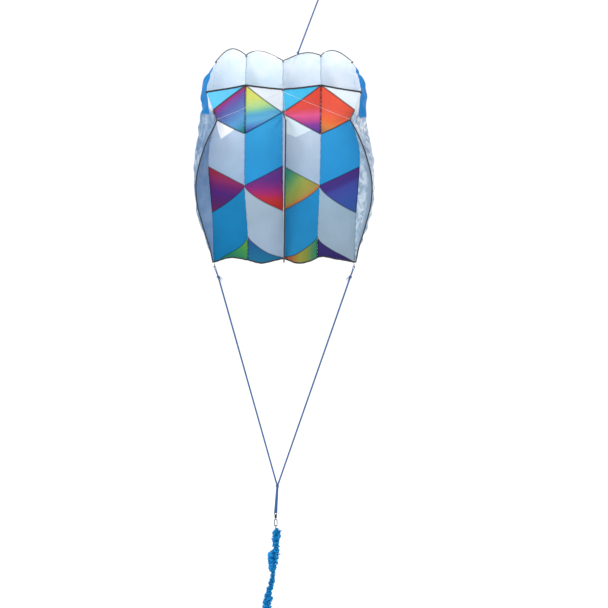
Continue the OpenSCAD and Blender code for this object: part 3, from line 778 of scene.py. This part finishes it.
def printed_nylon(column, blocks, borders, painted_light_patch, rim):
    """Ripstop printed with one column's six blocks, front to rear. A block is (across, along, start, stops):
    the first three turn the place on the cloth into a place in the gradient. The fourth argument is a painted
    patch of light behind the front diamond; rim colours the rear edge of the middle diamond."""
    made, tree, shader = new_material("printed_ripstop_%d" % (column + 1), 0.55)
    uv = add_node(tree, "ShaderNodeUVMap", uv_map="tiles")
    split = add_node(tree, "ShaderNodeSeparateXYZ", {"Vector": uv.outputs["UV"]})
    along = split.outputs["Y"]
    inward = maths(tree, "PINGPONG", split.outputs["X"], 1.0)
    rest = maths(tree, "SUBTRACT", 1.0, inward)
    lines = [border_line(tree, inward, border) for border in borders]
    past = [maths(tree, "SUBTRACT", along, line) for line in lines]
    colour = None
    outline = 0.0
    for k, (across, down, start, stops) in enumerate(blocks):
        share = maths(tree, "MULTIPLY_ADD", along, down, maths(tree, "MULTIPLY_ADD", inward, across, start))
        tint = dyed_ramp(tree, share, stops)
        if k == 3 and rim:
            ahead = maths(tree, "MULTIPLY", past[3], -1.0)
            tint = mixed(tree, band(tree, ahead, 0.012, 0.03), tint, dye(rim))
        if k == 0:
            colour = tint
            continue
        inside = add_node(tree, "ShaderNodeMapRange", {"Value": past[k - 1], "From Min": -0.0008,
                                                       "From Max": 0.0008})
        colour = mixed(tree, inside.outputs[0], colour, tint)
        edge = band(tree, maths(tree, "ABSOLUTE", past[k - 1]), 0.003, 0.006)
        edge = maths(tree, "MULTIPLY", edge, 0.9 if k < 3 else 0.65)
        outline = maths(tree, "MAXIMUM", outline, edge)
        # A diamond's side along a seam is outlined as well.
        if k in (1, 3, 5):
            side = band(tree, inward if k == 3 else rest, 0.014, 0.04)
            side = maths(tree, "MULTIPLY", side, maths(tree, "GREATER_THAN", past[k - 1], 0.0))
            if k < 5:
                side = maths(tree, "MULTIPLY", side, maths(tree, "LESS_THAN", past[k], 0.0))
            if k == 1 and column in (0, 3):
                outer = band(tree, inward, 0.03, 0.06)
                outer = maths(tree, "MULTIPLY", outer, maths(tree, "GREATER_THAN", along, 0.105))
                outer = maths(tree, "MULTIPLY", outer, maths(tree, "LESS_THAN", past[1], 0.0))
                side = maths(tree, "MAXIMUM", side, outer)
            side = maths(tree, "MULTIPLY", side, 0.8 if k == 1 else 0.55)
            outline = maths(tree, "MAXIMUM", outline, side)
    # Painted light: a bright patch behind the front diamond, standing in for light that comes in through the
    # mouth and shines through the cloth.
    if painted_light_patch:
        tone, low, low_slope, high, high_slope = painted_light_patch
        limit = maths(tree, "MINIMUM", maths(tree, "MULTIPLY_ADD", inward, low_slope, low),
                      maths(tree, "MULTIPLY_ADD", inward, high_slope, high))
        lit = maths(tree, "SUBTRACT", 1.0, band(tree, maths(tree, "SUBTRACT", limit, along), -0.003, 0.006))
        lit = maths(tree, "MULTIPLY", lit, maths(tree, "GREATER_THAN", past[1], 0.0))
        colour = mixed(tree, lit, colour, dye(tone, 0.95))
    depth = add_node(tree, "ShaderNodeMapRange", {"Value": object_noise(tree, 14.0, 3.0), "From Min": 0.3,
                                                  "From Max": 0.7, "To Min": 0.94, "To Max": 1.05})
    level = maths(tree, "MULTIPLY", depth.outputs[0], maths(tree, "MULTIPLY_ADD", outline, -0.78, 1.0))
    shaded = add_node(tree, "ShaderNodeVectorMath", {0: colour, 1: level}, operation="MULTIPLY")
    grid = ripstop_relief(tree, shader)
    final = mixed(tree, maths(tree, "MULTIPLY", grid, 0.012), shaded.outputs[0], dye("FFFFFF"))
    tree.links.new(final, shader.inputs["Base Color"])
    shader.inputs["Specular IOR Level"].default_value = 0.05
    return made


def plain(front, rear, start, end):
    """A plain block whose colour darkens a little from its front to its rear: painted shade."""
    return 0.0, 1 / (end - start), -start / (end - start), [(0.0, front), (1.0, rear)]


# The block colours carry painted shade: white blocks behind the front row are painted grey-blue, and blocks
# darken towards the rear, where the skin lies in shade.
block_sets = [
    [plain("67CDF9", "62C8F4", 0, 0.2),
     (0.42, 4.0, -0.44, [(0.0, "A83C66"), (0.06, "8E48A0"), (0.17, "6A62AE"), (0.36, "6480C2"),
                         (0.62, "64A4DA"), (0.77, "4C9CC4"), (0.88, "348A92"), (1.0, "2C966E")]),
     plain("C7DBF4", "9EB9D5", 0.2, 0.5),
     (-0.2, 3.9, -1.69, [(0.0, "AC3040"), (0.12, "96304E"), (0.25, "8A2C66"), (0.36, "6C256A"),
                         (0.55, "4C2474"), (0.8, "522362"), (1.0, "622254")]),
     plain("1A82BA", "0A71A5", 0.6, 1),
     (-1.0, 6.2, -4.6, [(0.0, "5A9A3C"), (0.4, "3C8C50"), (1.0, "22745A")])],
    [plain("E8F0F8", "E4ECF6", 0, 0.2),
     (-0.2, 3.85, 0.2, [(0.0, "DCDC60"), (0.27, "D4DC72"), (0.42, "B8DC86"), (0.49, "A0D098"),
                        (0.55, "78C0B0"), (0.62, "5CAAD2"), (0.74, "64B0D9"), (0.83, "5890CC"),
                        (0.92, "4A68B0"), (1.0, "4450AC")]),
     plain("38A2DC", "2592D1", 0.2, 0.55),
     (0.0, 3.77, -1.634, [(0.0, "5A3680"), (0.3, "623082"), (0.46, "802C7A"), (0.58, "A02A6C"),
                          (0.72, "B82E3E"), (0.82, "B22E2C"), (1.0, "A22C2A")]),
     plain("A4B7C8", "94A9C0", 0.6, 1),
     (0.0, 6.2, -5.2, [(0.0, "3C4A94"), (0.4, "1E5C8C"), (1.0, "1D6C92")])],
    [plain("48C0EE", "46BCEA", 0, 0.2),
     (0.0, 3.85, 0.0, [(0.0, "E34B34"), (0.42, "E25249"), (0.5, "E65870"), (0.58, "E75F96"),
                       (0.69, "CB5095"), (0.78, "8E46A2"), (0.92, "5F429B"), (1.0, "4F3A96")]),
     plain("C8D9EC", "A8C0D8", 0.2, 0.5),
     (0.8, 2.857, -1.237, [(0.0, "2E8C86"), (0.2, "368E80"), (0.4, "5A9C66"), (0.58, "8AA85A"),
                           (0.78, "9C9C4A"), (1.0, "A0924A")]),
     plain("2188C3", "1F7EB1", 0.6, 1),
     (1.0, 0.0, 0.0, [(0.0, "A84A34"), (0.2, "A05834"), (0.34, "9A7038"), (0.48, "8C8C3C"),
                      (0.65, "80883A"), (0.85, "487F54"), (1.0, "2E7A5E")])],
    [plain("E6F2FB", "E2EEF8", 0, 0.2),
     (0.12, 3.6, -0.06, [(0.0, "EA553C"), (0.48, "EE5F4C"), (0.7, "F07440"), (0.8, "E08648"),
                         (0.9, "B57A55"), (1.0, "A87A5A")]),
     plain("329BD9", "2691D1", 0.2, 0.55),
     (-0.4485, 3.9, -1.689, [(0.0, "4A2E7C"), (0.2, "3E3280"), (0.32, "3F4797"), (0.8, "3454A1"),
                             (1.0, "38569A")]),
     plain("97B1C6", "8DA0B0", 0.6, 1),
     plain("342A6A", "2C2460", 0.84, 1)],
]
# Each border's chord share at the keel's seam and at the rib's seam, and its bow
border_sets = [
    [(0.105, 0.0, 1.0), (0.16, 0.255, 1.0), (0.433, 0.549, 1.0), (0.703, 0.552, 0.76), (1.015, 0.845, 0.6)],
    [(0.128, 0.0, 1.0), (0.125, 0.255, 1.0), (0.430, 0.549, 1.0), (0.695, 0.552, 0.66), (0.992, 0.845, 0.66)],
    [(0.126, 0.0, 1.0), (0.133, 0.258, 1.0), (0.430, 0.549, 1.0), (0.690, 0.552, 0.72), (0.990, 0.848, 0.7)],
    [(0.105, 0.0, 1.0), (0.155, 0.258, 1.0), (0.433, 0.549, 1.0), (0.706, 0.552, 0.68), (1.003, 0.848, 0.6)],
]
# Painted patches of light behind the front diamonds of the first and third columns: their tone and the two
# lines that bound them.
painted_light_patches = [("FBFCFF", 0.172, 0.332, 0.318, -0.138), None, ("D2E2EA", 0.235, 0.10, 0.30, -0.09), None]
rims = [None, None, "B87A46", None]
for i, blocks in enumerate(block_sets):
    panel = cloth_sheet(
        "bottom_skin_%d" % (i + 1), lambda u, v, i=i: bottom_place(i + u * 0.9996 + 0.0002, v, seed=11),
        44, 184, lambda u, v, i=i: (i + u, v))
    thicken(panel, 0.0003)
    finished(panel, "kite", "pattern_cloth", printed_nylon(i, blocks, border_sets[i], painted_light_patches[i], rims[i]),
             "bottom_panel_%d" % (i + 1))

# ---- top skin ----
# Four panels of white ripstop nylon that swell between the ribs when the cells fill.


def plain_nylon(name, pale, shade, size=26.0, rough=0.55, reach=(0.35, 0.68), warp=0.4, level=1.18,
                through_light=0.0, edge=None):
    """Plain dyed ripstop: painted cloudy shade where the cloth lies in folds, and the thread grid.
    through_light is a painted glow that stands in for daylight through the thin cloth; edge is painted shade,
    a darker colour towards the free edge."""
    made, tree, shader = new_material(name, rough, pale)
    clouds = object_noise(tree, size, 4.0, distortion=warp)
    soft = add_node(tree, "ShaderNodeMapRange", {"Value": clouds, "From Min": reach[0], "From Max": reach[1]})
    cloth = mixed(tree, soft.outputs[0], dye(pale, level), dye(shade, level))
    if edge:
        uv = add_node(tree, "ShaderNodeUVMap", uv_map="tiles")
        split = add_node(tree, "ShaderNodeSeparateXYZ", {"Vector": uv.outputs["UV"]})
        cloth = mixed(tree, band(tree, split.outputs["X"], 0.42, 0.72), dye(edge), cloth)
    grid = ripstop_relief(tree, shader, 0.3)
    final = mixed(tree, maths(tree, "MULTIPLY", grid, 0.06), cloth, dye("FFFFFF"))
    tree.links.new(final, shader.inputs["Base Color"])
    shader.inputs["Specular IOR Level"].default_value = 0.15
    # Painted glow: the emission stands in for daylight shining through the thin cloth.
    shader.inputs["Emission Color"].default_value = (0.42, 0.74, 1.0, 1.0)
    shader.inputs["Emission Strength"].default_value = through_light
    return made


white_nylon = plain_nylon("white_ripstop", "F8FCFF", "EAF4FE", level=1.02, through_light=0.12)
for i in range(4):
    panel = cloth_sheet(
        "top_skin_%d" % (i + 1), lambda u, v, i=i: top_place(i + u * 0.9996 + 0.0002, v, seed=23 + i),
        44, 200, lambda u, v, i=i: (i + u, v))
    thicken(panel, 0.0003)
    finished(panel, "kite", "white_cloth", white_nylon, "top_panel_%d" % (i + 1))

# ---- ribs and side walls ----
# Inner ribs are flat white sheets cut to the cell's section, with a hemmed front edge. The side walls are the
# outermost ribs: blue at the front and pale behind, and they swell outwards.


def rib_place(number):
    """Shape of an inner rib, between the two skins at its seam."""
    def place(u, v):
        s = 0.985 * v
        low = bottom_place(np.full_like(s, float(number)), s)
        high = top_place(np.full_like(s, float(number)), s)
        points = low + (high - low) * u[:, None]
        sway = 0.0012 * soft_waves(points[:, 2], points[:, 1], 0.09, 5 + number) * np.sin(np.pi * u)
        points[:, 0] += sway
        return points
    return place


rib_nylon = plain_nylon("white_rib_ripstop", "F4F8FC", "E4EEF8", level=1.04, through_light=0.08)


def woven_tape(name, rough, colour, dark, light, scale):
    """Woven tape: dark and light flecks. Returns the material, its node tree, the shader and the weave."""
    made, tree, shader = new_material(name, rough, colour)
    weave = object_noise(tree, scale)
    tree.links.new(colour_ramp(tree, weave, (0.0, dark), (1.0, light)), shader.inputs["Base Color"])
    return made, tree, shader, weave


hem_tape = woven_tape("hem_tape_grey", 0.7, "8F9BB0", "737F96", "A9B3C6", 900.0)[0]
for number, place_name in ((1, "left"), (2, "centre"), (3, "right")):
    shape = rib_place(number)
    rib = cloth_sheet("inner_rib_" + place_name, shape, 30, 170, lambda u, v: (u, v))
    thicken(rib, 0.0003)
    finished(rib, "kite", "white_cloth", rib_nylon, "rib_" + place_name)
    ends = np.linspace(0.0, 1.0, 24)
    edge = shape(ends, np.zeros(24)) + np.array(tuple(kite)) + np.array([0, 0, 0.0006])
    hem = tube_mesh("rib_hem_" + place_name, edge, 0.0022, sides=10, flat=0.5, lie=(1, 0, 0))
    finished(hem, "kite", "white_cloth", hem_tape)


def wall_share(v):
    """Chord share of a wall's row: the rows lie closer together near the front hem."""
    return 0.99 * v ** 1.4


# The left wall stands fuller than the right one, which is pulled in behind its gusset.
wall_full = through([0, 0.03, 0.09, 0.15, 0.28, 0.42, 0.5, 0.8, 0.95, 1],
                    [1, 1.1, 1.3, 1.22, 0.98, 1.0, 1.05, 1.05, 1.1, 1])
wall_lean = through([0, 0.03, 0.09, 0.15, 0.28, 0.42, 0.5, 1],
                    [1, 1.1, 1.25, 1.22, 0.78, 0.93, 1, 1])


def wall_place(side):
    """Shape of a side wall, which swells outwards and creases behind its front edge."""
    def place(u, v):
        s = wall_share(v)
        tall = thickness(s)
        swell = 0.038 * (0.65 + 0.35 * np.sin(np.pi * s)) * np.minimum(1, 4 * (1 - s))
        swell = swell * (1 - 0.8 * np.exp(-s / 0.012)) * (wall_full if side < 0 else wall_lean)(s)
        x = half * (bottom_half(s) + (top_half(s) - bottom_half(s)) * u) + swell * np.sin(np.pi * u)
        z = front_z - chord * s + (overhang * (1 - s)) * u
        y = tall * u
        creases = soft_waves(z * 0.6, y + 0.35 * z, 0.035, 31 + side) * 0.0022
        folds = 0.0024 * np.sin(2 * math.pi * (z + 0.9 * y) / 0.045 + 2.5 * np.sin(9 * z))
        folds = folds * np.exp(-((s - 0.22) / 0.16) ** 2)
        x = x + (creases + folds) * np.sin(np.pi * u)
        return np.stack([side * x, y, z], axis=-1)
    return place


def wall_nylon(name, side):
    """Side wall's outer face: a blue gusset along the front edge, with pale creased ripstop behind it whose
    creases carry painted shade and painted highlights.
    """
    made, tree, shader = new_material(name, 0.42, "E6ECF6")
    uv = add_node(tree, "ShaderNodeUVMap", uv_map="tiles")
    split = add_node(tree, "ShaderNodeSeparateXYZ", {"Vector": uv.outputs["UV"]})
    slant = maths(tree, "MULTIPLY_ADD", split.outputs["Y"], 0.9, 0.03)
    lower = maths(tree, "SUBTRACT", split.outputs["X"], slant)
    rear = maths(tree, "MULTIPLY_ADD", split.outputs["X"], 0.13, 0.135 if side < 0 else 0.155)
    ahead = maths(tree, "SUBTRACT", rear, split.outputs["Y"])
    inside = maths(tree, "MINIMUM", lower, ahead)
    blue = maths(tree, "SUBTRACT", 1.0, band(tree, inside, -0.004, 0.004))
    place = add_node(tree, "ShaderNodeTexCoord")
    pulled = add_node(tree, "ShaderNodeMapping", {"Vector": place.outputs["Object"],
                                                  "Scale": (1.0, 1.6, 0.7)})
    creases = add_node(tree, "ShaderNodeTexNoise", {"Vector": pulled.outputs[0], "Scale": 38.0,
                                                    "Detail": 5.0, "Roughness": 0.6, "Distortion": 1.6})
    # Painted shade and painted highlights: the crease tones stand in for light on the crinkled cloth, and the
    # left wall's tones are darker, as shade.
    if side < 0:
        crease_shade_and_highlights = ((0.30, "5E7FA6"), (0.46, "829EBE"), (0.58, "9CB4D0"), (0.72, "E8EEF6"))
    else:
        crease_shade_and_highlights = ((0.32, "7E88A8"), (0.44, "A6BAD2"), (0.55, "C4D4E4"), (0.64, "F4F7FC"))
    cloth = dyed_ramp(tree, creases.outputs["Fac"], crease_shade_and_highlights)
    # A bright turned hem runs between the gusset and the bottom skin.
    turned = maths(tree, "MULTIPLY", band(tree, maths(tree, "ADD", lower, 0.10), 0.10, 0.12),
                   band(tree, split.outputs["Y"], 0.10, 0.14))
    cloth = mixed(tree, turned, cloth, dye("EAF2FA"))
    cloth = mixed(tree, blue, cloth, dye("1686D2", 1.3))
    grid = ripstop_relief(tree, shader, 0.35)
    final = mixed(tree, maths(tree, "MULTIPLY", grid, 0.02), cloth, dye("FFFFFF"))
    tree.links.new(final, shader.inputs["Base Color"])
    shader.inputs["Specular IOR Level"].default_value = 0.1
    return made


for side, place_name in ((-1, "left"), (1, "right")):
    wall = cloth_sheet("side_wall_cloth_" + place_name, wall_place(side), 40, 220,
                       lambda u, v: (u, wall_share(v)))
    faces = [wall_nylon("side_wall_ripstop_" + place_name, side), white_nylon]
    for cloth in faces if side > 0 else faces[::-1]:
        wall.data.materials.append(cloth)
    thicken(wall, 0.0003, lined=True)
    finished(wall, "kite", "blue_cloth", None, "side_wall_" + place_name)

# ---- keels ----
# Triangles of pale ripstop sewn under the bottom skin, with a webbing patch and loop at each tow point.


def keel_edge(u):
    """Sideways place of an outer keel's free edge, from its front to its rear."""
    return half * through([0, 0.145, 0.28, 0.43, 0.56, 0.75, 0.9, 1],
                          [0.86, 1.003, 1.095, 1.155, 1.15, 1.07, 0.99, 0.955])(u)


keel_front, tow_back, keel_depth = 0.060, 0.015, 0.085


def keel_place(side):
    """Shape of a keel, from its seam to its free edge."""
    def place(u, v):
        s = keel_front / chord + (1 - keel_front / chord) * v
        if side == 0:
            x = 0.011 * ((0.9 + (0.2 - 0.9) * v) * u - 0.3)
        else:
            seam = half * bottom_half(s)
            x = side * (seam + (keel_edge(v) - seam) * u)
        seam_z = front_z - chord * s
        edge_z = front_z - keel_front - tow_back + (rear_z - front_z + keel_front + tow_back) * v
        y = -0.0008 - (0.003 + (keel_depth - 0.003) * np.power(np.maximum(1 - v, 0), 0.85)) * u
        z = seam_z + (edge_z - seam_z) * u
        bow = 0.004 * np.sin(np.pi * u) * np.sin(np.pi * v)
        crease = 0.0016 * soft_waves(z, y, 0.07, 41 + side) * np.sin(np.pi * u)
        crease += 0.0022 * pulls(z, y, front_z - keel_front - tow_back, -keel_depth, 13, 0.09, 2.0)
        x = x + (bow * side + crease) * (0.35 if side == 0 else 1.0)
        return np.stack([x, y, z], axis=-1)
    return place


# Painted shade: the left keel's face in view lies in shade, so its pale cloth is coloured blue-grey; the
# right keel is painted darker towards its free edge.
keel_nylons = {-1: plain_nylon("keel_ripstop_left", "7895BA", "6486B2"),
               0: plain_nylon("keel_ripstop_centre", "D4DEEA", "BCCBDC"),
               1: plain_nylon("keel_ripstop_right", "CEE0EE", "98B0C6", 40.0, 0.5, (0.42, 0.6), 1.2,
                               edge="8FA6BC")}
black_tape, tree, shader, tape_weave = woven_tape(
    "black_binding_tape", 0.75, "15151A", "0D0D12", "2A2A33", 1100.0)
relief(tree, shader, tape_weave, 0.4, 0.0003)
shader.inputs["Sheen Weight"].default_value = 0.2

for side, place_name in ((-1, "left"), (0, "centre"), (1, "right")):
    shape = keel_place(side)
    keel = cloth_sheet("keel_cloth_" + place_name, shape, 34, 170, lambda u, v: (u, v))
    thicken(keel, 0.0004)
    finished(keel, "kite", "white_cloth", keel_nylons[side], "keel_" + place_name)
    front = shape(np.linspace(0.02, 0.97, 14), np.zeros(14))
    back = shape(np.ones(90), np.linspace(0.004, 1.0, 90))
    edge = np.concatenate([front, back]) + np.array(tuple(kite))
    tape = tube_mesh("keel_edge_tape_" + place_name, edge, 0.0024, sides=12, flat=0.9, lie=(1, 0, 0.02))
    finished(tape, "kite", "black_tape", black_tape, "keel_binding_" + place_name)
    dress("tow_loop_" + place_name, black_tape)
for place_name in ("left", "right"):
    dress("corner_loop_" + place_name, black_tape)

# ---- black bindings of the front and rear edges ----
# Folded tape over each raw edge, pulled into small waves by its stitching, with a bar-tacked tab at each rib.


def edge_run(place, s, count, seed):
    """Points along a skin's front or rear edge, from the left corner to the right one."""
    c = np.linspace(0.0, 4.0, count)
    return place(c, np.full(count, s), seed=seed) + np.array(tuple(kite))


for name, node, place, s, seed, half_width in (
        ("bottom_front_tape", "bottom_front_binding", bottom_place, 0.0, 11, 0.0028),
        ("top_front_tape", "top_front_binding", top_place, 0.0, 23, 0.0014),
        ("rear_tape", "rear_binding", bottom_place, 1.0, 11, 0.0030)):
    edge = edge_run(place, s, 200, seed)
    if node == "rear_binding":
        edge[:, 1] += 0.0012
    tape = tube_mesh(name, edge, half_width, sides=12, flat=0.8, lie=(0, 1, 0))
    finished(tape, "kite", "black_tape", black_tape, node)
for number in range(5):
    for tag, place, seed in (("top", top_place, 23), ("bottom", bottom_place, 11)):
        spot = place(np.array([float(number)]), np.array([0.004]), seed=seed)[0] + np.array(tuple(kite))
        bpy.ops.object.select_all(action="DESELECT")
        over_keel = tag == "bottom" and number % 2 == 1
        tab_size = (0.0085, 0.0032, 0.009) if over_keel else (0.006, 0.0032, 0.0065)
        bpy.ops.mesh.primitive_cube_add(size=1, location=tuple(spot), scale=tab_size)
        tab = bpy.context.object
        tab.name = "binding_tab_%s_%d" % (tag, number + 1)
        bevel = tab.modifiers.new("soft_edges", "BEVEL")
        bevel.width = 0.0014
        bevel.segments = 3
        bpy.ops.object.modifier_apply(modifier=bevel.name)
        bpy.ops.object.transform_apply(location=True, rotation=True, scale=True)
        bpy.ops.object.shade_smooth_by_angle(angle=math.radians(40))
        finished(tab, "kite", "black_tape", black_tape)
